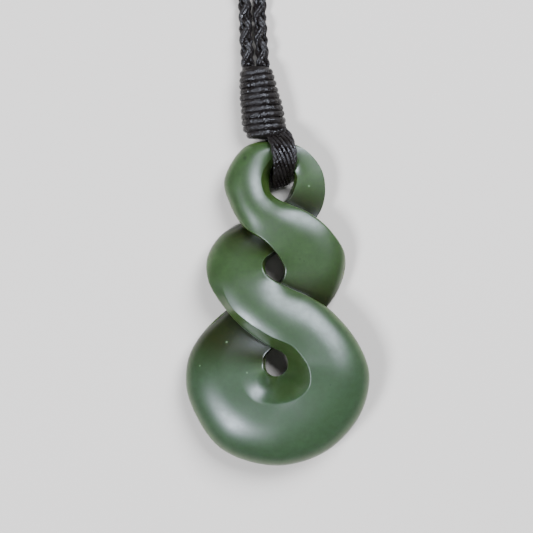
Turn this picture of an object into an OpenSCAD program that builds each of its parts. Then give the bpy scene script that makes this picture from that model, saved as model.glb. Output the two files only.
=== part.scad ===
// Twist pendant of green stone on a plaited waxed cord, lying flat on its back.
// +Z is up from the surface it lies on, and the cord leaves the stone towards +Y.

/* [Stone] */
// Height of the finished stone, top of the ring to bottom of the large lobe
stone_l = 45; // [35:0.5:60]
// Roundness of the strand's section: 2 is an ellipse, more is squarer
section_power = 2; // [2:0.05:3]
// Sides of the strand's section
section_sides = 32; // [16:16:48]
// Rings between two rows of the strand's table
rings_per_row = 3; // [2:1:4]

/* [Cords] */
// Diameter of each neck plait
plait_d = 2; // [1.5:0.1:2.4]
// Thickness of one waxed thread
thread_d = 0.85; // [0.6:0.05:1]
// Turns of thread in the lashing above the stone
lashing_turns = 11; // [8:1:14]
// Length of the closing knot at the back of the neck
knot_l = 9; // [6:0.5:12]
// Diameter of the closing knot
knot_d = 5; // [4.6:0.1:6]

/* [Hidden] */
stone_colour = "#4f7a58";
cord_colour = "#2b292b";

// Where the middle of the stone lies, so that the whole necklace is centred on the origin
stone_y = -130;

// One row for each station along the stone's closed strand, in mm from the middle of the stone.
// It starts at the top of the ring and goes down its left side. Columns:
// x and y of the strand's left edge on its way, x and y of its right edge, z of its middle above the
// surface, half thickness, tilt in degrees (left edge up), how deep the carver cut in beside the left
// edge on the front and on the back (0 to 1), how far in that cut starts as a share of the width, and
// how flat the section stays towards its left and its right edge (0 is an ellipse).
strand_table = [
    // left x, left y, right x, right y, z, half_t, tilt, front, back, ledge, left flat, right flat
    [  0.0,  19.7,  -0.4,  22.5, 2.80, 1.80,  0,    0,    0, 0.25,  0.1,    0], // top of the ring
    [ -0.8,  18.6,  -4.6,  21.6, 2.85, 1.95,  1,    0,    0, 0.25, 0.15,    0],
    [ -1.1,  17.2,  -7.3,  17.3, 3.00, 2.15,  1,    0,    0, 0.25, 0.15,    0], // left side of the ring
    [ -1.0,  15.6,  -6.5,  13.6, 3.35, 2.20,  0,    0,    0, 0.25, 0.25,    0],
    [  0.0,  14.5,  -4.6,  10.5, 3.80, 2.20,  0,    0,    0, 0.25,  0.4,    0],
    [  2.1,  13.5,  -1.9,   8.7, 4.20, 2.15, -2,    0,    0, 0.25,  0.4,  0.5], // in front at the upper crossing
    [  4.4,  12.5,  -0.2,   7.0, 4.30, 2.15, -3,    0,    0, 0.25,  0.3,  0.8],
    [  7.3,  10.2,   0.7,   5.6, 4.15, 2.20, -4,    0,    0, 0.25,    0,  0.9],
    [  9.5,   6.5,   1.0,   4.3, 3.60, 2.30, -4,    0,    0, 0.25,    0,  0.9], // right side of the middle lobe
    [  8.6,   1.9,   0.1,   2.7, 2.85, 2.30, -4,    0,    0, 0.25,    0,  0.8],
    [  5.4,  -2.2,  -3.2,   1.0, 2.36, 2.30, -2,    0,  0.6, 0.17,  0.2,  0.5], // behind at the lower crossing
    [  1.1,  -5.3,  -6.9,  -0.9, 2.45, 2.40,  1,    0,    1, 0.19,  0.4,    0],
    [ -1.2,  -7.1, -10.8,  -4.7, 2.70, 2.55,  4,    0,    1, 0.19,  0.7,    0],
    [ -1.5,  -8.4, -12.6,  -8.8, 2.95, 2.75,  4,    0,    1, 0.28,  0.8,    0], // left side of the large lobe
    [ -1.4,  -9.3, -12.0, -14.0, 3.20, 3.05,  3, 0.15,    1, 0.36,  0.8,    0],
    [ -0.9,  -9.9,  -7.9, -20.1, 3.55, 3.45,  1,  0.5,    1, 0.33,  0.7,    0],
    [ -0.1, -10.2,  -0.7, -22.5, 3.85, 3.65,  0, 0.85, 0.85, 0.29,  0.6,    0], // bottom of the large lobe
    [  0.8,  -9.9,   6.2, -20.9, 4.05, 3.60,  1,    1,  0.5, 0.29,  0.7,    0],
    [  1.4,  -9.3,  11.1, -16.2, 4.45, 3.35,  3,    1, 0.15, 0.29,  0.7,    0],
    [  1.6,  -8.4,  12.8, -10.4, 5.00, 2.95,  3,    1,    0, 0.23,  0.7,    0], // right side of the large lobe
    [  1.4,  -7.5,  11.2,  -5.5, 5.40, 2.50,  3,    1,    0, 0.18,  0.6,    0],
    [  0.7,  -6.7,   7.8,  -1.3, 5.65, 2.25,  3,    1,    0, 0.16,  0.5,    0],
    [ -1.8,  -5.4,   4.6,   0.8, 5.70, 2.25,  1,    1,    0, 0.13,  0.4,    0], // in front at the lower crossing
    [ -4.8,  -3.2,   1.5,   2.2, 5.60, 2.25, -1,    1,    0, 0.11,  0.4,    0],
    [ -7.3,  -0.6,  -1.0,   3.5, 5.10, 2.30, -3,  0.6,    0, 0.12,  0.4,  0.5],
    [ -9.4,   2.8,  -1.7,   4.8, 4.30, 2.30, -5,    0,    0, 0.25,  0.2,  0.8], // left side of the middle lobe
    [ -9.7,   6.4,  -1.4,   6.0, 3.40, 2.20, -8,    0,    0, 0.25,    0,  0.9],
    [ -7.8,   9.5,   0.0,   7.0, 2.60, 2.05, -8,    0,    0, 0.25,    0,  0.9],
    [ -4.4,  11.5,   2.4,   8.9, 2.08, 1.90, -6,    0,    0, 0.25,    0,  0.9],
    [ -1.0,  13.0,   4.7,  10.8, 1.95, 1.85, -4,    0,    0, 0.25,  0.3,  0.9], // behind at the upper crossing
    [  1.3,  14.4,   6.2,  13.1, 2.04, 1.90, -4,    0,    0, 0.25,  0.5,  0.9],
    [  2.0,  16.1,   6.7,  15.9, 2.25, 1.95, -4,    0,    0, 0.25,  0.4,  0.9], // right side of the ring
    [  2.2,  17.7,   6.0,  18.8, 2.45, 1.85, -3,    0,    0, 0.25,  0.2,  0.9],
    [  1.5,  19.1,   3.5,  21.5, 2.65, 1.85, -1,    0,    0, 0.25,  0.1,  0.6]
];
// Row at which the strand is cut into its two halves, at the bottom of the large lobe
half_row = 16;

// Point and slope of the smooth curve through rows p, q, r and s of a table, a share f of the way from q to r
function along(p, q, r, s, f) =
    0.5 * (2 * q + (r - p) * f + (2 * p - 5 * q + 4 * r - s) * f * f + (3 * q - p - 3 * r + s) * f * f * f);
function slope(p, q, r, s, f) =
    0.5 * ((r - p) + 2 * (2 * p - 5 * q + 4 * r - s) * f + 3 * (3 * q - p - 3 * r + s) * f * f);

// The strand's row at station i + f, where the table runs round to its start again
function wrap(i) = strand_table[(i + len(strand_table)) % len(strand_table)];
function strand_row(i, f) = along(wrap(i - 1), wrap(i), wrap(i + 1), wrap(i + 2), f);

// A point of the plain section, [across, up], on its front (side 1) or back (side -1): c is its place
// across, from -1 at the right edge to 1 at the left edge, which lies at edge_z. A flat side keeps its
// height further out and then drops: flats holds how flat the left and the right side are.
flat_power = 12;
function oval_point(c, side, half_w, half_t, edge_z, flats) =
    let (flat = c > 0 ? flats[0] : flats[1],
         reach = abs(c) * (1 - flat * (1 - pow(abs(c), flat_power))),
         height = pow(max(0, 1 - pow(reach, section_power)), 1 / section_power),
         base = edge_z * max(0, c))
    [half_w * c, base + side * height * (half_t - side * base)];

// A point beside the left edge, a share of the way from the ledge to that edge, where a hollow wall
// drops from the ledge: cut is how much of that drop is carved away
wall_power = 0.75;
function wall_point(share, cut, crest, side, half_w, half_t, edge_z, flats) =
    let (plain = oval_point(crest + (1 - crest) * share, side, half_w, half_t, edge_z, flats),
         top = oval_point(crest, side, half_w, half_t, edge_z, flats),
         rise = side * (plain[1] - edge_z),
         top_rise = side * (top[1] - edge_z),
         wall = min(rise, top_rise * (1 - pow(share, wall_power))))
    [plain[0], edge_z + side * (rise + cut * (wall - rise))];

// A point of the finished section at an angle from the left edge
ledge_angle = 67.5;
edge_share = 0.3;
function section_point(a, row, half_w) =
    let (turn = a > 180 ? a - 360 : a,
         side = turn < 0 ? -1 : 1,
         half_t = row[5],
         edge_z = edge_share * half_t * (row[8] - row[7]),
         flats = [row[10], row[11]],
         crest = 1 - 2 * row[9],
         outside = (abs(turn) - ledge_angle) / (180 - ledge_angle),
         past_crest = acos(crest) + (180 - acos(crest)) * outside)
    outside > 0 ? oval_point(cos(past_crest), side, half_w, half_t, edge_z, flats)
    : wall_point(sin(90 * (1 - abs(turn) / ledge_angle)), side < 0 ? row[8] : row[7], crest, side,
        half_w, half_t, edge_z, flats);

// One ring of points round the strand
function strand_ring(row) =
    let (left_edge = [row[0], row[1]],
         right_edge = [row[2], row[3]],
         mid = (left_edge + right_edge) / 2,
         half_w = norm(left_edge - right_edge) / 2,
         left = (left_edge - mid) / half_w,
         tilt = row[6])
    [for (k = [0 : section_sides - 1])
        let (p = section_point(360 * k / section_sides, row, half_w),
             across = p[0] * cos(tilt) - p[1] * sin(tilt),
             up = p[0] * sin(tilt) + p[1] * cos(tilt))
        [mid[0] + left[0] * across, mid[1] + left[1] * across, row[4] + up]];

// The mean of a ring's points, and the point that lies past "to" on the line from "from"
function middle(ring) = [for (p = ring) 1] * ring / len(ring);
function beyond(from, to, distance) = to + (to - from) / norm(to - from) * distance;

// A closed solid through rings of points that all have the same number of points. Each end is a fan of
// triangles round a middle point, which stands out by end_bulge where two solids merge end to end.
module skin(rings, end_bulge = 0) {
    n = len(rings[0]);
    last = len(rings) - 1;
    first_tip = beyond(middle(rings[1]), middle(rings[0]), end_bulge);
    last_tip = beyond(middle(rings[last - 1]), middle(rings[last]), end_bulge);
    first_i = (last + 1) * n;
    last_i = first_i + 1;
    sides = [for (i = [0 : last - 1], k = [0 : n - 1])
        let (a = i * n + k, b = i * n + (k + 1) % n) each [[a, a + n, b + n], [a, b + n, b]]];
    first_end = [for (k = [0 : n - 1]) [first_i, k, (k + 1) % n]];
    last_end = [for (k = [0 : n - 1]) [last_i, last * n + (k + 1) % n, last * n + k]];
    polyhedron(points = [for (r = rings) each r, first_tip, last_tip],
        faces = concat(first_end, sides, last_end), convexity = 8);
}

// The strand from one row of its table to another. Its ends reach into the other half of the stone.
seam_reach = 0.6;
module strand(first, last) {
    skin([for (i = [first : last], j = [0 : rings_per_row - 1])
        if (i < last || j == 0)
            strand_ring(strand_row(i, j / rings_per_row))], seam_reach);
}

// The carved stone: both halves of its strand as one solid, brought to its finished height
module twist_stone() {
    color(stone_colour)
    translate([0, stone_y, 0])
    resize([0, stone_l, 0], auto = [true, true, true])
    union() {
        strand(0, half_row);
        strand(half_row, len(strand_table));
    }
}

// The band of threads that holds the stone, in the upright plane of its middle line.
// One row for each point of its way, in mm from the middle of the stone: x, y, z and width.
hanger_way = [
    [ 0.5, 22.65, 4.55, 3.1],
    [ 0.6, 22.10, 4.85, 3.2],
    [ 0.8, 21.30, 5.30, 3.4],
    [ 1.0, 20.30, 5.45, 3.4],
    [ 1.0, 19.10, 5.10, 3.2],
    [ 0.9, 17.90, 4.00, 2.9],
    [ 0.7, 17.00, 2.80, 2.7],
    [ 0.6, 16.30, 1.80, 2.7],
    [ 0.5, 16.40, 0.95, 2.7],
    [ 0.4, 17.20, 0.50, 2.7],
    [ 0.3, 18.40, 0.45, 2.7],
    [ 0.1, 20.00, 0.45, 2.8],
    [ 0.0, 21.60, 0.45, 2.8],
    [ 0.0, 22.65, 0.80, 2.8]
];
hanger_threads = 4;
arc_steps = 3;
// Outline of threads lying side by side: [across, up]. Neighbours press into each other where the band is narrow.
function band_outline(width) =
    let (r = thread_d / 2,
         pitch = (width - thread_d) / (hanger_threads - 1),
         mid = (hanger_threads - 1) / 2,
         low = acos(min(1, pitch / thread_d)),
         step = (180 - 2 * low) / arc_steps)
    concat(
        [[mid * pitch + r, 0]],
        [for (t = [hanger_threads - 1 : -1 : 0], s = [0 : arc_steps - 1])
            let (a = low + step * (s + 0.5)) [(t - mid) * pitch + cos(a) * r, sin(a) * r]],
        [[-mid * pitch - r, 0]],
        [for (t = [0 : hanger_threads - 1], s = [0 : arc_steps - 1])
            let (a = 180 + low + step * (s + 0.5)) [(t - mid) * pitch + cos(a) * r, sin(a) * r]]);
function open_at(t, i) = t[max(0, min(len(t) - 1, i))];
module hanger() {
    steps = 2;
    last = len(hanger_way) - 1;
    color(cord_colour)
    translate([0, stone_y, 0])
    skin([for (i = [0 : last], j = [0 : steps - 1])
        if (i < last || j == 0)
            let (f = j / steps,
                 p = open_at(hanger_way, i - 1), q = open_at(hanger_way, i),
                 r = open_at(hanger_way, i + 1), s = open_at(hanger_way, i + 2),
                 row = along(p, q, r, s, f), way = slope(p, q, r, s, f),
                 flat_end = (i == 0 && j == 0) || i == last,
                 dy = way[1], dz = flat_end ? 0 : way[2],
                 up = [0, -dz, dy] / norm([dy, dz]))
            [for (b = band_outline(row[3])) [row[0] - b[0], row[1], row[2]] + up * b[1]]]);
}

// The lashing: a tapered bundle of thread turns. Columns: x, y and z of its middle line in mm
// from the middle of the stone, width and thickness.
lashing_way = [
    [-1.50, 22.85, 2.50, 4.8, 3.9],
    [-1.65, 24.40, 2.50, 6.0, 4.6],
    [-1.90, 26.50, 2.50, 5.9, 4.7],
    [-2.20, 28.60, 2.50, 5.5, 4.6],
    [-2.55, 30.90, 2.45, 4.9, 4.4],
    [-2.85, 32.80, 2.40, 4.3, 3.8]
];
lashing_sides = 20;
turn_steps = 3;
groove = 0.16;
module lashing() {
    last = len(lashing_way) - 1;
    count = lashing_turns * turn_steps;
    color(cord_colour)
    translate([0, stone_y, 0])
    skin([for (n = [0 : count])
        let (t = last * n / count, i = min(last - 1, floor(t)), f = t - i,
             p = open_at(lashing_way, i - 1), q = open_at(lashing_way, i),
             r = open_at(lashing_way, i + 1), s = open_at(lashing_way, i + 2),
             row = along(p, q, r, s, f),
             cut = (n % turn_steps == 0) ? groove : 0)
        [for (k = [0 : lashing_sides - 1])
            let (a = 360 * k / lashing_sides)
            [row[0] - cos(a) * (row[3] / 2 - cut), row[1], row[2] + sin(a) * (row[4] / 2 - cut)]]]);
}

// Way of the left plait over the surface, from the lashing to the closing knot: x, y and z.
// The right plait starts beside it and then mirrors it.
left_way = [
    [-3.95, -97.2, 2.4], [-4.3, -93, 1.9], [-4.65, -88, 1.2], [-5.6, -81, 1.02], [-8, -72, 1], [-13, -60, 1],
    [-20, -48, 1], [-29, -35, 1], [-40, -20, 1], [-52, -4, 1], [-63, 12, 1], [-73, 30, 1], [-81, 50, 1],
    [-85, 71, 1], [-84, 92, 1], [-77, 112, 1], [-65, 129, 1], [-48, 141, 1], [-30, 147.5, 1.1],
    [-14, 149.8, 1.8], [-4.5, 150, 2.5]
];
right_way = concat(
    [[-1.9, -97.2, 2.4], [-2.1, -93, 1.9], [-2.2, -88, 1.2], [-1.2, -81, 1.02], [3, -71, 1], [11, -60, 1]],
    [for (i = [6 : len(left_way) - 1]) [-left_way[i][0], left_way[i][1], left_way[i][2]]]);
cord_sides = 8;
cord_steps = 2;
module cord_tube(way_points) {
    last = len(way_points) - 1;
    corner_r = plait_d / 2 / cos(180 / cord_sides);
    skin([for (i = [0 : last], j = [0 : cord_steps - 1])
        if (i < last || j == 0)
            let (f = j / cord_steps,
                 p = open_at(way_points, i - 1), q = open_at(way_points, i),
                 r = open_at(way_points, i + 1), s = open_at(way_points, i + 2),
                 at = along(p, q, r, s, f), way = slope(p, q, r, s, f),
                 end_way = i == 0 && j == 0 ? [0, 1, 0] : i == last ? [way[0], 0, 0] : way,
                 flat = [end_way[0], end_way[1]] / norm([end_way[0], end_way[1]]),
                 left = [-flat[1], flat[0], 0])
            [for (k = [0 : cord_sides - 1])
                let (a = 360 * (k + 0.5) / cord_sides)
                at + left * cos(a) * corner_r + [0, 0, sin(a) * corner_r]]]);
}

module neck_cord_left() {
    color(cord_colour) cord_tube(left_way);
}

module neck_cord_right() {
    color(cord_colour) cord_tube(right_way);
}

// The closing knot: a plain barrel of whipping thread round both cord ends, behind the neck
module closing_knot() {
    knot_at = left_way[len(left_way) - 1];
    color(cord_colour)
    translate([0, knot_at[1], knot_d / 2])
    rotate([0, 90, 0])
    cylinder(h = knot_l, d = knot_d, center = true, $fn = 48);
}

twist_stone();
hanger();
lashing();
neck_cord_left();
neck_cord_right();
closing_knot();
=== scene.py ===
import math
import random

import bmesh
import bpy
import numpy as np
from mathutils import Matrix, Vector
from mathutils.bvhtree import BVHTree
from mathutils.kdtree import KDTree


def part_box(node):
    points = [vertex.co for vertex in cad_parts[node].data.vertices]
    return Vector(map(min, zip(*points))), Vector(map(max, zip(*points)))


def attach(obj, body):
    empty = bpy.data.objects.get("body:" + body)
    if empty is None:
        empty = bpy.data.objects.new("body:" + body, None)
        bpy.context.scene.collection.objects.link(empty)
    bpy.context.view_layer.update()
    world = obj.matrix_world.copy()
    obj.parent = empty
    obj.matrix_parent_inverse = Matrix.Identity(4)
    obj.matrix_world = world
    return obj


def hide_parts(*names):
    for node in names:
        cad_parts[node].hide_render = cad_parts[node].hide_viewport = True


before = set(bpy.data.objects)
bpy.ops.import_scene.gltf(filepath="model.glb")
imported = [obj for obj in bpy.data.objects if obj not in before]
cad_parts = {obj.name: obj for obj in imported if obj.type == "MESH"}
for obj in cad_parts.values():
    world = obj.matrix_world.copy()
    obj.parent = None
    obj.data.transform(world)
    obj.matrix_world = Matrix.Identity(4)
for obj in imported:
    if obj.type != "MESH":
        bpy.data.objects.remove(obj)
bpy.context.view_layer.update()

# Camera
# The necklace lies flat on its back and is seen from straight above, as it was photographed. The stone
# stands upright in the picture, a little right of its middle, and the neck cord leaves it at the top.
# Sizes and places in this file are in mm until they are scaled by MM.
MM = 0.001
STONE_Y = -130.0
stone_length = 45.0
picture_px = 533
stone_px = (277, 303)
stone_length_px = 325
mm_per_px = stone_length / stone_length_px
focal_mm = 120
sensor_mm = 36
stone_mid_height = 4.0

camera = bpy.data.objects.new("camera", bpy.data.cameras.new("camera"))
camera.data.lens = focal_mm
camera.data.sensor_width = sensor_mm
camera.data.clip_start = 0.005
camera_distance = picture_px * mm_per_px * focal_mm / sensor_mm
camera.location = Vector((
    (picture_px / 2 - stone_px[0]) * mm_per_px,
    (stone_px[1] - picture_px / 2) * mm_per_px + STONE_Y,
    stone_mid_height + camera_distance,
)) * MM
bpy.context.scene.collection.objects.link(camera)
bpy.context.scene.camera = camera


# Neck plaits
# Each side of the neck cord is a round plait, about 2 mm thick, of four strands of black waxed polyester
# thread. Two strands wind one way and two the other, each over one and under the next, pulled tight by
# hand. The plaits leave the lashing side by side and lie in one open loop as far as the closing knot.
def between(p, q, r, s, f):
    """The row at a share f of the way from q to r, on the smooth curve through p, q, r and s."""
    return 0.5 * (2 * q + (r - p) * f + (2 * p - 5 * q + 4 * r - s) * f**2 + (3 * q - p - 3 * r + s) * f**3)


def smooth_way(rows, spacing):
    """Rows of numbers a spacing apart on the smooth curve through rows, whose first three are x, y and z,
    with how far along it each one is."""
    rows = np.array(rows, float)
    padded = np.vstack([rows[:1], rows, rows[-1:]])
    steps_between_rows = 40
    f = np.linspace(0, 1, steps_between_rows, endpoint=False)[:, None]
    fine = [between(p, q, r, s, f) for p, q, r, s in zip(padded, padded[1:], padded[2:], padded[3:])]
    fine = np.vstack([*fine, rows[-1:]])
    run = np.concatenate([[0], np.cumsum(np.linalg.norm(np.diff(fine[:, :3], axis=0), axis=1))])
    at = np.linspace(0, run[-1], round(run[-1] / spacing) + 1)
    return np.column_stack([np.interp(at, run, column) for column in fine.T]), at


def unit(vectors):
    """Each row made one long."""
    return vectors / np.linalg.norm(vectors, axis=1)[:, None]


def round_plait(middle, at, left, radius, weave, turn, pair_angle):
    """The middle lines of the eight threads of a round plait. Four strands of two threads wind round the
    middle line at a radius, two each way, and move in or out by weave to pass under or over each other.
    left: the way to the left at each point. turn: length of one whole winding. pair_angle: between the two
    threads of a strand, in radians."""
    up = unit(np.cross(np.gradient(middle, axis=0), left))
    wind = 2 * math.pi * at / turn
    runs = []
    for strand in range(4):
        sense = 1 if strand < 2 else -1
        start = math.pi * (strand % 2) + (0 if strand < 2 else math.pi / 2)
        reach = radius + sense * np.sin(2 * wind) * weave
        for thread_side in (-0.5, 0.5):
            angle = sense * wind + start + thread_side * pair_angle
            across, above = reach * np.cos(angle), reach * np.sin(angle)
            runs.append(middle + left * across[:, None] + up * above[:, None])
    return runs


def thread_piece(name, runs, thickness, sides=8):
    """Round threads along runs of points in mm, as one mesh in metres with UVs in mm, u along a thread."""
    curve = bpy.data.curves.new(name, "CURVE")
    curve.dimensions = "3D"
    curve.bevel_depth = thickness / 2
    curve.bevel_resolution = (sides - 4) // 2
    curve.use_fill_caps = True
    for run in runs:
        spline = curve.splines.new("POLY")
        spline.points.add(len(run) - 1)
        spline.points.foreach_set("co", np.column_stack([run, np.ones(len(run))]).ravel())
    route = bpy.data.objects.new(name + "_route", curve)
    bpy.context.scene.collection.objects.link(route)
    mesh = bpy.data.meshes.new_from_object(route.evaluated_get(bpy.context.evaluated_depsgraph_get()))
    bpy.data.objects.remove(route)
    mesh.transform(Matrix.Scale(MM, 4))
    length = np.linalg.norm(np.diff(runs[0], axis=0), axis=1).sum()
    uv = np.zeros(len(mesh.loops) * 2, np.float32)
    mesh.uv_layers[0].data.foreach_get("uv", uv)
    uv = uv.reshape(-1, 2) * (length, math.pi * thickness)
    mesh.uv_layers[0].data.foreach_set("uv", uv.ravel())
    mesh.shade_smooth()
    piece = bpy.data.objects.new(name, mesh)
    bpy.context.scene.collection.objects.link(piece)
    return piece


def linear(hex_colour):
    """An sRGB hex colour as linear red, green, blue and alpha."""
    parts = [int(hex_colour[i:i + 2], 16) / 255 for i in (1, 3, 5)]
    return (*[c / 12.92 if c <= 0.04045 else ((c + 0.055) / 1.055) ** 2.4 for c in parts], 1)


def add_node(material, kind, inputs, **settings):
    """Adds a node. inputs: what each input is set to, or the socket that it is linked to."""
    node = material.node_tree.nodes.new(kind)
    for name, value in settings.items():
        setattr(node, name, value)
    for name, value in inputs.items():
        if isinstance(value, bpy.types.NodeSocket):
            material.node_tree.links.new(value, node.inputs[name])
        else:
            node.inputs[name].default_value = value
    return node


def new_material(name):
    """An empty material, and the shader that its nodes are linked to."""
    material = bpy.data.materials.new(name)
    material.use_nodes = True
    return material, material.node_tree.nodes["Principled BSDF"]


def waxed_thread():
    """Black polyester thread in wax: fine fibres lie along it, the wax is creased by hand, and it gives
    streaks of soft shine and a few dull patches where it has rubbed off. The fibres are drawn coarser
    than real ones, so that they show."""
    material, shader = new_material("waxed polyester thread")
    links = material.node_tree.links
    coords = add_node(material, "ShaderNodeTexCoord", {})
    fibre_mm, fibre_length_mm, crease_mm, patch_mm = 0.11, 2.2, 0.45, 1.3
    along = add_node(material, "ShaderNodeMapping", {
        "Vector": coords.outputs["UV"], "Scale": (1 / fibre_length_mm, 1 / fibre_mm, 1)})
    fibres = add_node(material, "ShaderNodeTexNoise", {
        "Vector": along.outputs[0], "Scale": 1.0, "Detail": 2.0, "Roughness": 0.6})
    patches = add_node(material, "ShaderNodeTexNoise", {
        "Vector": coords.outputs["Object"], "Scale": 1 / (patch_mm * MM), "Detail": 2.0})
    colour = add_node(material, "ShaderNodeMix", {
        "Factor": patches.outputs[0], "A": linear("#0a0706"), "B": linear("#17120f")}, data_type="RGBA")
    worn = add_node(material, "ShaderNodeMapRange", {
        "Value": patches.outputs[0], "From Min": 0.35, "From Max": 0.65, "To Min": 0.24, "To Max": 0.5})
    creases = add_node(material, "ShaderNodeTexNoise", {
        "Vector": coords.outputs["Object"], "Scale": 1 / (crease_mm * MM), "Detail": 1.0})
    creased = add_node(material, "ShaderNodeBump", {
        "Height": creases.outputs[0], "Strength": 0.9, "Distance": 0.22 * MM})
    bump = add_node(material, "ShaderNodeBump", {
        "Height": fibres.outputs[0], "Strength": 0.7, "Distance": 0.06 * MM, "Normal": creased.outputs[0]})
    links.new(colour.outputs["Result"], shader.inputs["Base Color"])
    links.new(worn.outputs[0], shader.inputs["Roughness"])
    links.new(bump.outputs[0], shader.inputs["Normal"])
    shader.inputs["IOR"].default_value = 1.5
    shader.inputs["Specular IOR Level"].default_value = 0.3
    return material


def finish_piece(piece, material, node):
    """Gives a piece its material, hangs it on the root body, and hides the CAD node it stands in for."""
    piece.data.materials.clear()
    piece.data.materials.append(material)
    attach(piece, "root")
    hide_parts(node)


plait_width = 2.04
plait_thread = 0.58
plait_weave = 0.15
plait_turn = 6.6
plait_pair_angle = 0.72
point_spacing = 0.3
# Points on the middle of each plait. The right plait mirrors the left one from its seventh point on.
left_way = [
    (-4.0, -97.2, 2.4), (-4.32, -93, 1.9), (-4.55, -88, 1.2), (-5.6, -81, 1.02), (-8, -72, 1), (-13, -60, 1),
    (-20, -48, 1), (-29, -35, 1), (-40, -20, 1), (-52, -4, 1), (-63, 12, 1), (-73, 30, 1), (-81, 50, 1),
    (-85, 71, 1), (-84, 92, 1), (-77, 112, 1), (-65, 129, 1), (-48, 141, 1), (-30, 147.5, 1.1),
    (-14, 149.8, 1.8), (-4.5, 150, 2.5),
]
right_way = [
    (-1.9, -97.2, 2.4), (-2.22, -93, 1.9), (-2.35, -88, 1.2), (-1.2, -81, 1.02), (3, -71, 1), (11, -60, 1),
    *[(-x, y, z) for x, y, z in left_way[6:]],
]
black_thread = waxed_thread()
plait_radius = (plait_width - plait_thread) / 2 - plait_weave
for side, way in (("left", left_way), ("right", right_way)):
    middle, at = smooth_way(way, point_spacing)
    heading = np.gradient(middle, axis=0)
    left = unit(np.column_stack([-heading[:, 1], heading[:, 0], np.zeros(len(heading))]))
    runs = round_plait(middle, at, left, plait_radius, plait_weave, plait_turn, plait_pair_angle)
    plait = thread_piece(f"neck_plait_{side}", runs, plait_thread)
    finish_piece(plait, black_thread, f"neck_cord_{side}")
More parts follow.
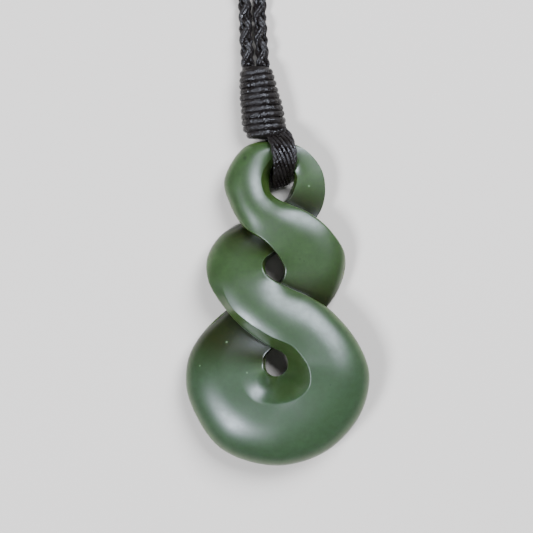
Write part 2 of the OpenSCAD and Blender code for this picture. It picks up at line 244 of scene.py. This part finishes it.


# Twist stone
# The pendant is one piece of nephrite jade, carved as a closed strand that crosses itself twice and
# honed to a satin gloss. Light goes some way into it; on top of that, thin and steep places are painted
# a yellower green as a painted glow, and places under the other strand get painted shade.
# Each row: left edge x and y, right edge x and y, height of the middle, half thickness, tilt, how sharp
# the carver's ledge is on front and back, how far in from the left edge it lies, and how flat the faces
# stay towards the left and the right edge.
strand_rows = [
    (0.0, 19.7, -0.4, 22.5, 2.80, 1.80, 0, 0.2, 0, 0.2, 0.1, 0),  # top of the ring
    (-0.8, 18.6, -4.6, 21.6, 2.90, 1.95, 2, 0.7, 0, 0.17, 0.15, 0),
    (-1.1, 17.2, -7.3, 17.3, 3.10, 2.15, 4, 1, 0, 0.16, 0.15, 0),  # left side of the ring
    (-1.0, 15.6, -6.5, 13.6, 3.45, 2.20, 3, 0.7, 0, 0.14, 0.15, 0),
    (0.0, 14.5, -4.6, 10.5, 3.90, 2.20, 0, 0.2, 0, 0.15, 0.15, 0.1),
    (2.1, 13.5, -1.9, 8.7, 4.25, 2.15, 0, 0, 0, 0.2, 0.15, 0.7),  # in front at the upper crossing
    (4.4, 12.5, -0.2, 7.0, 4.05, 2.15, 0, 0, 0, 0.25, 0.2, 0.95),
    (7.3, 10.2, 0.7, 5.6, 3.55, 2.20, 0, 0, 0, 0.25, 0.2, 0.98),
    (9.5, 6.5, 1.0, 4.3, 3.05, 2.20, -2, 0, 0, 0.25, 0, 0.98),  # right side of the middle lobe
    (8.6, 1.9, 0.1, 2.7, 2.70, 2.30, -3, 0, 0, 0.25, 0, 0.95),
    (5.4, -2.2, -3.2, 1.0, 2.40, 2.30, -2, 0, 0.6, 0.17, 0.2, 0.6),  # behind at the lower crossing
    (1.1, -5.3, -6.9, -0.9, 2.25, 2.20, 4, 0, 1, 0.19, 0.5, 0),
    (-1.2, -7.1, -10.8, -4.7, 2.50, 2.35, 7, 0, 1, 0.19, 0.9, 0),
    (-1.5, -8.4, -12.6, -8.8, 2.95, 2.75, 6, 0, 1, 0.28, 0.9, 0),  # left side of the large lobe
    (-1.4, -9.3, -12.0, -14.0, 3.25, 3.10, 3, 0.1, 1, 0.34, 0.7, 0),
    (-0.9, -9.9, -7.9, -20.1, 3.60, 3.50, 1, 0.5, 1, 0.34, 0.5, 0),
    (-0.1, -10.2, -0.7, -22.5, 3.85, 3.65, -1, 0.95, 0.85, 0.3, 0.55, 0),  # bottom of the large lobe
    (0.8, -9.9, 6.2, -20.9, 4.05, 3.60, 2, 1, 0.4, 0.29, 0.7, 0),
    (1.4, -9.3, 11.1, -16.2, 4.45, 3.35, 4, 1, 0.15, 0.29, 0.7, 0),
    (1.6, -8.4, 12.8, -10.4, 5.00, 2.95, 5, 1, 0, 0.23, 0.7, 0),  # right side of the large lobe
    (1.4, -7.5, 11.2, -5.5, 5.40, 2.50, 5, 1, 0, 0.18, 0.6, 0),
    (0.7, -6.7, 7.8, -1.3, 5.60, 2.25, 6, 1, 0, 0.16, 0.4, 0),
    (-1.8, -5.4, 4.6, 0.8, 5.70, 2.25, 7, 1, 0, 0.13, 0.2, 0.1),  # in front at the lower crossing
    (-4.8, -3.2, 1.5, 2.2, 5.60, 2.20, 6, 1, 0, 0.11, 0.2, 0.1),
    (-7.3, -0.6, -1.0, 3.5, 5.05, 2.25, 2, 0.6, 0, 0.12, 0.2, 0.5),
    (-9.4, 2.8, -1.7, 4.8, 4.35, 2.30, -4, 0, 0, 0.25, 0.1, 0.9),  # left side of the middle lobe
    (-9.7, 6.4, -1.4, 6.0, 3.35, 2.20, -8, 0, 0, 0.25, 0, 0.98),
    (-7.8, 9.5, 0.0, 7.0, 2.50, 2.00, -9, 0, 0, 0.25, 0, 0.98),
    (-4.4, 11.5, 2.4, 8.9, 2.00, 1.85, -7, 0, 0, 0.25, 0, 0.95),
    (-1.0, 13.0, 4.7, 10.8, 1.85, 1.75, -4, 0, 0, 0.25, 0.3, 0.9),  # behind at the upper crossing
    (1.3, 14.4, 6.1, 13.1, 2.05, 1.75, 6, 0, 0, 0.25, 0.7, 0.75),
    (2.2, 16.1, 6.55, 15.9, 2.25, 1.80, 8, 0, 0, 0.25, 0.6, 0.6),  # right side of the ring
    (2.5, 17.6, 5.9, 18.8, 2.45, 1.80, 6, 0, 0, 0.25, 0.45, 0.6),
    (1.5, 19.1, 3.5, 21.5, 2.70, 1.85, 0, 0, 0, 0.22, 0.1, 0.6),
]
rings_per_row = 8
# The section is an ellipse at section_power 2. A flat face ends at its edge the more abruptly, the higher
# flat_power is. Inside a ledge the left edge rises by edge_share, the wall hollows with wall_power, and
# crest_round softens the crest, which lies ledge_angle degrees round the section from its left edge.
section_power = 2.0
flat_power = 80
edge_share = 0.3
wall_power = 1.25
crest_round = 0.1
ledge_angle = 67.5
angle_step = 3.75
steps_near_crest = (-2.4, -1.4, -0.8, -0.4, 1.5)
even_turns = [angle_step * k for k in range(round(180 / angle_step) + 1)]
half_turns = sorted(even_turns + [ledge_angle + step for step in steps_near_crest])
section_angles = half_turns + [360 - turn for turn in half_turns[-2:0:-1]]


def strand_row(i, f):
    """The strand's row at station i + f, on the smooth closed curve through its rows."""
    return between(*(np.array(strand_rows[(i + k) % len(strand_rows)], float) for k in (-1, 0, 1, 2)), f)


def oval_point(across, side, half_width, half_thick, edge_height, flats):
    """A point of the plain section, at a place across it from -1 at the right edge to 1 at the left one.
    side: 1 on its front and -1 on its back."""
    flat = flats[0] if across > 0 else flats[1]
    reach = abs(across) * (1 - flat * (1 - abs(across) ** flat_power))
    height = max(0, 1 - reach**section_power) ** (1 / section_power)
    base = edge_height * max(0, across)
    return np.array((half_width * across, base + side * height * (half_thick - side * base)))


def section_point(angle, row, half_width):
    """A point of the finished section, at an angle from its left edge. Inside the ledge a hollow
    wall drops to the left edge, and carved tells how much of that drop is cut away."""
    half_thick, front, back, ledge, flats = row[5], row[7], row[8], row[9], row[10:12]
    turn = angle - 360 if angle > 180 else angle
    side, carved = (-1, back) if turn < 0 else (1, front)
    edge_height = edge_share * half_thick * (back - front)
    crest = 1 - 2 * ledge
    if abs(turn) > ledge_angle:
        crest_angle = math.acos(crest)
        share = (abs(turn) - ledge_angle) / (180 - ledge_angle)
        across = math.cos(crest_angle + (math.pi - crest_angle) * share)
        return oval_point(across, side, half_width, half_thick, edge_height, flats)
    share = math.sin(math.pi / 2 * (1 - abs(turn) / ledge_angle))
    rounded = (math.hypot(share, crest_round) - crest_round) / (math.hypot(1, crest_round) - crest_round)
    plain = oval_point(crest + (1 - crest) * share, side, half_width, half_thick, edge_height, flats)
    top = oval_point(crest, side, half_width, half_thick, edge_height, flats)
    rise, top_rise = side * (plain[1] - edge_height), side * (top[1] - edge_height)
    left = (1 - carved) * rise + carved * min(rise, top_rise * (1 - rounded)**wall_power)
    return np.array((plain[0], edge_height + side * left))


def strand_ring(row):
    """The points of one ring round the strand."""
    left_edge, right_edge = row[0:2], row[2:4]
    middle = (left_edge + right_edge) / 2
    half_width = np.linalg.norm(left_edge - right_edge) / 2
    left = (left_edge - middle) / half_width
    cosine, sine = math.cos(math.radians(row[6])), math.sin(math.radians(row[6]))
    points = []
    for angle in section_angles:
        x, z = section_point(angle, row, half_width)
        across, up = x * cosine - z * sine, x * sine + z * cosine
        points.append((middle[0] + left[0] * across, middle[1] + left[1] * across + STONE_Y, row[4] + up))
    return points


def bridged(rings, closed):
    """A bmesh through rings of points, joined end to end or closed with a face at each end."""
    bm = bmesh.new()
    loops = []
    for ring in rings:
        verts = [bm.verts.new(p) for p in ring]
        loops.append([bm.edges.new((a, b)) for a, b in zip(verts, verts[1:] + verts[:1])])
    for a, b in zip(loops, loops[1:] + (loops[:1] if closed else [])):
        bmesh.ops.bridge_loops(bm, edges=a + b)
    if not closed:
        for loop in (loops[0], loops[-1]):
            bmesh.ops.contextual_create(bm, geom=loop)
    bmesh.ops.recalc_face_normals(bm, faces=bm.faces[:])
    return bm


def object_from(bm, name):
    """A bmesh in mm as an object in metres, with smooth shading."""
    mesh = bpy.data.meshes.new(name)
    bmesh.ops.scale(bm, vec=(MM, MM, MM), verts=bm.verts[:])
    bm.to_mesh(mesh)
    bm.free()
    mesh.shade_smooth()
    piece = bpy.data.objects.new(name, mesh)
    bpy.context.scene.collection.objects.link(piece)
    return piece


def with_modifiers_applied(piece):
    """Turns a piece's modifiers into its mesh."""
    mesh = bpy.data.meshes.new_from_object(piece.evaluated_get(bpy.context.evaluated_depsgraph_get()))
    piece.modifiers.clear()
    piece.data = mesh
    mesh.shade_smooth()


stone_rings = [
    strand_ring(strand_row(i, j / rings_per_row))
    for i in range(len(strand_rows)) for j in range(rings_per_row)
]
stone = object_from(bridged(stone_rings, closed=True), "twist_pendant_stone")
strand_points = [v.co.copy() for v in stone.data.vertices]
fuse = stone.modifiers.new("fuse crossings", "BOOLEAN")
fuse.operation = "UNION"
fuse.solver = "EXACT"
fuse.use_self = True
fuse.operand_type = "COLLECTION"
fuse.collection = bpy.data.collections.new("nothing to add")
with_modifiers_applied(stone)
stone.data.set_sharp_from_angle(angle=math.radians(35))


# The rows of the strand that pass under the other one, seen from the front and from the back, how many
# rows from there the painted shade begins, and over how many rows it deepens.
rows_under_front = (10.8, 28.7)
rows_under_back = (21.2, 5.9)
shade_reach = 2.7
shade_fade = 1.5


def under_share(row, faces_up):
    """How far a place on the strand has gone under the other strand, from 0 to 1."""
    half = len(strand_rows) / 2
    crossings = rows_under_front if faces_up else rows_under_back
    away = min(abs((row - crossing + half) % len(strand_rows) - half) for crossing in crossings)
    return min(1, max(0, (shade_reach - away) / shade_fade))


def mark_surface(piece, strand_points, full_mm, shade_mm):
    """Gives each point of a piece four values from 0 to 1: thin, how thin the stone is under it, 0 at
    full_mm or more; recess, the share of rays out from it that meet the stone again within shade_mm;
    under, how far the strand has gone under another; and steep, how far it leans from level."""
    mesh = piece.data
    nearest = KDTree(len(strand_points))
    for index, point in enumerate(strand_points):
        nearest.insert(point, index)
    nearest.balance()
    tree = BVHTree.FromPolygons([v.co for v in mesh.vertices], [p.vertices for p in mesh.polygons])
    lift = 0.03 * MM
    smoothing_passes = {"thin": 0, "recess": 8, "under": 8, "steep": 2}
    tilts, turns = (0.35, 0.75, 1.1, 1.3), 6
    spread = [
        Vector((math.sin(tilt) * math.cos(a), math.sin(tilt) * math.sin(a), math.cos(tilt)))
        for k, tilt in enumerate(tilts) for a in (2 * math.pi * (j + k / 3) / turns for j in range(turns))
    ]
    thin, recess, under, steep = [], [], [], []
    for v in mesh.vertices:
        row = nearest.find(v.co)[1] // len(section_angles) / rings_per_row
        under.append(under_share(row, v.normal.z > 0))
        depth = tree.ray_cast(v.co - v.normal * lift, -v.normal)[3]
        thin.append(1 - min(1, (depth or 0) / (full_mm * MM)))
        facing = v.normal.to_track_quat("Z", "Y").to_matrix()
        start = v.co + v.normal * lift
        met = sum(tree.ray_cast(start, facing @ ray, shade_mm * MM)[0] is not None for ray in spread)
        recess.append(met / len(spread))
        steep.append(1 - abs(v.normal.z))
    a, b = np.array([e.vertices for e in mesh.edges]).T
    neighbours = np.bincount(a, minlength=len(recess)) + np.bincount(b, minlength=len(recess))
    for name, values in (("thin", thin), ("recess", recess), ("under", under), ("steep", steep)):
        values = np.array(values)
        for _ in range(smoothing_passes[name]):
            around = np.bincount(a, values[b], len(values)) + np.bincount(b, values[a], len(values))
            values = (values + around / neighbours) / 2
        mesh.attributes.new(name, "FLOAT", "POINT").data.foreach_set("value", values)


def front_point(place_px):
    """The point on the front of the stone that shows at a place in the picture."""
    x, y = (place_px[0] - stone_px[0]) * mm_per_px, (stone_px[1] - place_px[1]) * mm_per_px + STONE_Y
    return stone.ray_cast(camera.location, Vector((x, y, stone_mid_height)) * MM - camera.location)[1]


dark_fleck, pale_fleck = "#0b1208", "#6c8262"
# Each fleck: where it shows in the picture, its width and its colour.
flecks = (
    ((245, 158), 0.5, dark_fleck), ((330.5, 385), 0.26, dark_fleck), ((346.5, 332.5), 0.26, dark_fleck),
    ((300, 259), 0.24, dark_fleck), ((304, 261), 0.2, dark_fleck), ((309, 186), 0.26, pale_fleck),
    ((226.6, 342), 0.26, pale_fleck), ((247, 372.7), 0.22, pale_fleck), ((199.8, 365.7), 0.22, pale_fleck),
)


def nephrite():
    """Nephrite jade, honed: felted fibres give a cloudy mid green, a little bluer in the large lobe, with a
    few dark and pale flecks. It has a satin gloss, and light goes a millimetre or so into it. Thin and
    steep places are painted a yellower green, a painted glow, and places under another strand or in a
    recess are painted dark as painted shade. The felt and the grit of the honing are drawn coarser than
    real ones, so that they show."""
    material, shader = new_material("honed nephrite jade")
    links = material.node_tree.links
    coords = add_node(material, "ShaderNodeTexCoord", {})
    thin = add_node(material, "ShaderNodeAttribute", {}, attribute_name="thin")
    cloud_mm, felt_mm, grit_mm = 6.0, 0.8, 0.22
    clouds = add_node(material, "ShaderNodeTexNoise", {
        "Vector": coords.outputs["Object"], "Scale": 1 / (cloud_mm * MM), "Detail": 3.0, "Roughness": 0.55})
    felt = add_node(material, "ShaderNodeTexNoise", {
        "Vector": coords.outputs["Object"], "Scale": 1 / (felt_mm * MM), "Detail": 3.0, "Roughness": 0.6})
    grit = add_node(material, "ShaderNodeTexNoise", {
        "Vector": coords.outputs["Object"], "Scale": 1 / (grit_mm * MM), "Detail": 2.0})
    cloud_share = add_node(material, "ShaderNodeMapRange", {
        "Value": clouds.outputs[0], "From Min": 0.3, "From Max": 0.7})
    cloudy = add_node(material, "ShaderNodeMix", {
        "Factor": cloud_share.outputs[0], "A": linear("#26371a"), "B": linear("#304424")}, data_type="RGBA")
    place = add_node(material, "ShaderNodeSeparateXYZ", {"Vector": coords.outputs["Object"]})
    bluer_share = add_node(material, "ShaderNodeMapRange", {
        "Value": place.outputs["Y"], "From Min": (STONE_Y + 4) * MM, "From Max": (STONE_Y - 10) * MM,
        "To Min": 0.0, "To Max": 0.6})
    body = add_node(material, "ShaderNodeMix", {
        "Factor": bluer_share.outputs[0], "A": cloudy.outputs["Result"], "B": linear("#2b3e2b")},
        data_type="RGBA")
    felt_share = add_node(material, "ShaderNodeMapRange", {
        "Value": felt.outputs[0], "From Min": 0.35, "From Max": 0.7, "To Min": 0.0, "To Max": 0.5})
    felted = add_node(material, "ShaderNodeMix", {
        "Factor": felt_share.outputs[0], "A": body.outputs["Result"], "B": linear("#1c2c0e")},
        data_type="RGBA")
    # Painted glow: thin places are painted a lighter, yellower green, as if lit through.
    thin_share = add_node(material, "ShaderNodeMapRange", {
        "Value": thin.outputs["Fac"], "From Min": 0.3, "From Max": 1.0, "To Min": 0.0, "To Max": 0.55})
    painted_thin_glow = add_node(material, "ShaderNodeMix", {
        "Factor": thin_share.outputs[0], "A": felted.outputs["Result"], "B": linear("#30460e")},
        data_type="RGBA")
    steep = add_node(material, "ShaderNodeAttribute", {}, attribute_name="steep")
    # Painted glow: steep places are painted a lighter yellow green, as if lit through from above.
    steep_share = add_node(material, "ShaderNodeMapRange", {
        "Value": steep.outputs["Fac"], "From Min": 0.25, "From Max": 0.8, "To Min": 0.0, "To Max": 0.7})
    painted_steep_glow = add_node(material, "ShaderNodeMix", {
        "Factor": steep_share.outputs[0], "A": painted_thin_glow.outputs["Result"], "B": linear("#3b5318")},
        data_type="RGBA")
    recess = add_node(material, "ShaderNodeAttribute", {}, attribute_name="recess")
    under = add_node(material, "ShaderNodeAttribute", {}, attribute_name="under")
    # Painted shade: places in a recess and under another strand are painted a dark olive.
    in_recess = add_node(material, "ShaderNodeMapRange", {
        "Value": recess.outputs["Fac"], "From Min": 0.0, "From Max": 0.4, "To Min": 0.0, "To Max": 0.35})
    shade = add_node(material, "ShaderNodeMath", {
        0: under.outputs["Fac"], 1: 0.95, 2: in_recess.outputs[0]}, operation="MULTIPLY_ADD", use_clamp=True)
    shaded = add_node(material, "ShaderNodeMix", {
        "Factor": shade.outputs[0], "A": painted_steep_glow.outputs["Result"], "B": linear("#171d05")}, data_type="RGBA")
    for place_px, width_mm, colour in flecks:
        away = add_node(material, "ShaderNodeVectorMath", {
            0: coords.outputs["Object"], 1: front_point(place_px)}, operation="DISTANCE")
        fleck_share = add_node(material, "ShaderNodeMapRange", {
            "Value": away.outputs["Value"], "From Min": 0.25 * width_mm * MM,
            "From Max": 0.75 * width_mm * MM, "To Min": 0.5, "To Max": 0.0})
        shaded = add_node(material, "ShaderNodeMix", {
            "Factor": fleck_share.outputs[0], "A": shaded.outputs["Result"], "B": linear(colour)},
            data_type="RGBA")
    gloss = add_node(material, "ShaderNodeMapRange", {
        "Value": felt.outputs[0], "From Min": 0.3, "From Max": 0.7, "To Min": 0.31, "To Max": 0.38})
    # Places with painted shade are also made a little smoother, so that they catch less sheen.
    smoother_in_shade = add_node(material, "ShaderNodeMath", {
        0: shade.outputs[0], 1: -0.08, 2: gloss.outputs[0]}, operation="MULTIPLY_ADD")
    least_roughness = 0.29
    honed = add_node(material, "ShaderNodeMath", {
        0: smoother_in_shade.outputs[0], 1: least_roughness}, operation="MAXIMUM")
    bump = add_node(material, "ShaderNodeBump", {
        "Height": grit.outputs[0], "Strength": 0.15, "Distance": 0.02 * MM})
    links.new(shaded.outputs["Result"], shader.inputs["Base Color"])
    links.new(honed.outputs[0], shader.inputs["Roughness"])
    links.new(bump.outputs[0], shader.inputs["Normal"])
    shader.inputs["IOR"].default_value = 1.61
    shader.inputs["Specular IOR Level"].default_value = 0.35
    shader.inputs["Subsurface Weight"].default_value = 0.4
    shader.inputs["Subsurface Radius"].default_value = (0.45, 1.0, 0.4)
    shader.inputs["Subsurface Scale"].default_value = 1.4 * MM
    return material


# thin and steep set where the material paints a yellower glow, recess and under where it paints shade.
mark_surface(stone, strand_points, full_mm=6.0, shade_mm=6.0)
finish_piece(stone, nephrite(), "twist_stone")


# Lashing
# Eleven turns of the same waxed thread bind the ends of the plaits and of the hanger above the stone.
# They are wound by hand, side by side, wider at the stone and narrower where the plaits leave.
# Each row: x, y and z of the middle, width and thickness.
lashing_rows = [
    (-1.55, 22.85, 2.50, 5.0, 3.9),
    (-1.75, 24.40, 2.50, 6.2, 4.6),
    (-2.02, 26.50, 2.50, 6.15, 4.7),
    (-2.34, 28.60, 2.50, 5.8, 4.6),
    (-2.68, 30.90, 2.45, 5.2, 4.4),
    (-2.95, 32.80, 2.40, 4.5, 3.8),
]
lashing_turns = 11
steps_per_turn = 40
core_depth = 0.35
lashing_looseness = 0.08
lashing_overlap = 1.14


def wound_thread(rows, turns, thickness, looseness, seed):
    """A thread wound side by side round the smooth tube through rows of x, y, z, width and thickness. It
    slips and slackens by up to looseness, changing every half turn, and its last turn stops early, so
    that its end is hidden behind."""
    last_turn_left, change_every, most_outward = 0.4, 0.5, 0.3
    tube, _ = smooth_way(rows, spacing=0.05)
    tube[:, 1] += STONE_Y
    first, last = tube[0, 1] + thickness / 2, tube[-1, 1] - thickness / 2
    wind = np.linspace(0, turns - last_turn_left, round(turns * steps_per_turn))
    rng = random.Random(seed)
    changes = np.arange(0, turns + 1, change_every)
    slip = np.interp(wind, changes, [rng.uniform(-1, 1) for _ in changes]) * looseness
    slack = np.interp(wind, changes, [rng.uniform(-1, most_outward) for _ in changes]) * looseness
    y = first + (last - first) * wind / wind[-1] + slip
    x, z, width, height = (np.interp(y, tube[:, 1], tube[:, column]) for column in (0, 2, 3, 4))
    angle = 2 * math.pi * wind
    return np.column_stack([
        x - np.cos(angle) * ((width - thickness) / 2 + slack),
        y,
        z + np.sin(angle) * ((height - thickness) / 2 + slack),
    ])


def oval_ring(x, y, z, width, height, sides=32):
    """An upright oval ring of points across the y direction."""
    turns = [2 * math.pi * k / sides for k in range(sides)]
    return [(x + math.cos(a) * width / 2, y, z + math.sin(a) * height / 2) for a in turns]


def joined(name, pieces):
    """One piece made of several."""
    bm = bmesh.new()
    for piece in pieces:
        bm.from_mesh(piece.data)
        bpy.data.objects.remove(piece)
    mesh = bpy.data.meshes.new(name)
    bm.to_mesh(mesh)
    bm.free()
    mesh.shade_smooth()
    result = bpy.data.objects.new(name, mesh)
    bpy.context.scene.collection.objects.link(result)
    return result


lashing_pitch = (lashing_rows[-1][1] - lashing_rows[0][1]) / lashing_turns
lashing_thread = lashing_pitch * lashing_overlap
lashing_run = wound_thread(lashing_rows, lashing_turns, lashing_thread, lashing_looseness, seed=3)
turns_piece = thread_piece("lashing_turns", [lashing_run], lashing_thread, sides=10)
core = object_from(bridged([
    oval_ring(x, y + STONE_Y, z, width - 2 * core_depth, height - 2 * core_depth)
    for x, y, z, width, height in smooth_way(lashing_rows, spacing=0.8)[0]
], closed=False), "lashing_core")
lashing = joined("stone_lashing", [turns_piece, core])
finish_piece(lashing, black_thread, "lashing")


# Hanger
# A band of waxed threads, wound together and pressed flat, holds the stone. It leaves the lashing over the
# top of the ring, goes down into its eye, turns under and comes back up behind the ring into the lashing.
# Each row: x, y, z, width, and how far its left side runs ahead, for each mm across.
hanger_rows = [
    (-0.5, 24.30, 3.20, 3.6, 0),  # in the lashing, in front
    (0.3, 23.20, 4.00, 3.7, 0),
    (0.7, 22.10, 4.95, 3.6, 0),
    (0.9, 21.30, 5.35, 3.6, 0),
    (1.05, 20.30, 5.50, 3.5, 0),  # over the top of the ring
    (1.05, 19.10, 5.15, 3.25, 0),
    (0.85, 17.90, 4.10, 2.95, 0.15),
    (0.7, 17.10, 2.80, 2.85, 0.3),
    (0.6, 16.50, 1.80, 2.75, 0.35),  # in the ring's eye
    (0.5, 16.60, 0.95, 2.7, 0.3),
    (0.4, 17.20, 0.52, 2.7, 0.1),
    (0.3, 18.40, 0.48, 2.7, 0),
    (0.1, 20.00, 0.48, 2.8, 0),  # behind the ring
    (0.0, 21.60, 0.50, 2.8, 0),
    (-0.3, 23.00, 1.00, 2.8, 0),
    (-0.8, 24.30, 1.80, 2.8, 0),  # in the lashing, behind
]
hanger_thread = 0.52
hanger_threads = 12
hanger_turn = 17.0
hanger_height = 0.13


def flat_rope(middle, at, widths, slants, thickness, count, height, turn):
    """The middle lines of count threads that wind round one another once in a length of turn, pressed flat
    to height at each side of the middle line. evenness, up to 1, spreads them over the width, and
    steepness is how soon a thread goes from the front layer to the back one."""
    evenness, steepness = 0.95, 3
    left = unit(np.column_stack([-np.ones(len(at)), -slants, np.zeros(len(at))]))
    up = unit(np.cross(np.gradient(middle, axis=0), left))
    runs = []
    for thread in range(count):
        wind = 2 * math.pi * (thread / count - at / turn)
        across = np.arcsin(evenness * np.cos(wind)) / math.asin(evenness) * (widths - thickness) / 2
        above = np.tanh(steepness * np.sin(wind)) * height
        runs.append(middle + left * across[:, None] + up * above[:, None])
    return runs


way, at = smooth_way(hanger_rows, spacing=0.15)
middle = way[:, :3] + (0, STONE_Y, 0)
runs = flat_rope(middle, at, way[:, 3], way[:, 4], hanger_thread, hanger_threads, hanger_height, hanger_turn)
hanger = thread_piece("stone_hanger", runs, hanger_thread)
finish_piece(hanger, black_thread, "hanger")


# Closing knot
# The two plaits meet behind the neck in a plain barrel of the same waxed thread, whipped by hand in ten
# close turns. Their ends inside it are one plain core, about as thick as the two together.
knot_low, knot_high = (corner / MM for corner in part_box("closing_knot"))
knot_thread = 0.9
knot_turns = 10
core_width = 4.2
core_end_width = 3.0
core_taper = 1.0
knot_middle = (knot_low + knot_high) / 2
knot_size = knot_high - knot_low
wind = np.linspace(0, knot_turns, knot_turns * steps_per_turn)
angle = 2 * math.pi * wind
knot_radius = (knot_size.y - knot_thread) / 2
half_reach = (knot_size.x - knot_thread) / 2
knot_run = np.column_stack([
    knot_middle.x - half_reach + 2 * half_reach * wind / knot_turns,
    knot_middle.y + np.cos(angle) * knot_radius,
    knot_middle.z + np.sin(angle) * knot_radius,
])
knot_turns_piece = thread_piece("knot_turns", [knot_run], knot_thread, sides=10)
# Each row: how far along the knot from its middle, and how wide the core is there.
core_rows = (
    (-half_reach, core_end_width), (core_taper - half_reach, core_width),
    (half_reach - core_taper, core_width), (half_reach, core_end_width),
)
knot_core = object_from(bridged([
    [(x, y, z) for y, x, z in oval_ring(knot_middle.y, knot_middle.x + reach, knot_middle.z, width, width)]
    for reach, width in core_rows
], closed=False), "knot_core")
knot = joined("neck_closing_knot", [knot_turns_piece, knot_core])
finish_piece(knot, black_thread, "closing_knot")


# Floor and lights
# The necklace lies on a plain pale card, which is matt and takes soft shadows. Soft studio light comes
# from two large panels, one beyond the stone on the right and one before it on the left, and a dim pale
# room gives a little more from all round.
half_floor = 3000
card, card_shader = new_material("matt pale card")
card_shader.inputs["Base Color"].default_value = linear("#beb6a9")
card_shader.inputs["Roughness"].default_value = 0.7
bm = bmesh.new()
bmesh.ops.create_grid(bm, x_segments=1, y_segments=1, size=half_floor)
floor = object_from(bm, "floor")
floor.data.materials.append(card)
lamp_colour = "#e6eeff"


def light_panel(name, direction, distance_m, size_m, watts):
    """A square soft light that faces the stone from a direction."""
    lamp = bpy.data.objects.new(name, bpy.data.lights.new(name, "AREA"))
    lamp.data.size = size_m
    lamp.data.energy = watts
    lamp.data.color = linear(lamp_colour)[:3]
    aim = Vector((0, STONE_Y * MM, 0))
    direction = Vector(direction).normalized()
    lamp.location = aim + direction * distance_m
    lamp.rotation_euler = direction.to_track_quat("Z", "Y").to_euler()
    bpy.context.scene.collection.objects.link(lamp)


light_panel("panel_beyond", (0.37, 0.46, 0.77), distance_m=0.7, size_m=0.38, watts=14.5)
light_panel("panel_before", (-0.49, -0.27, 0.82), distance_m=0.7, size_m=0.18, watts=10.0)
world = bpy.data.worlds.new("room")
world.use_nodes = True
background = world.node_tree.nodes["Background"]
background.inputs["Color"].default_value = linear(lamp_colour)
background.inputs["Strength"].default_value = 0.22
bpy.context.scene.world = world
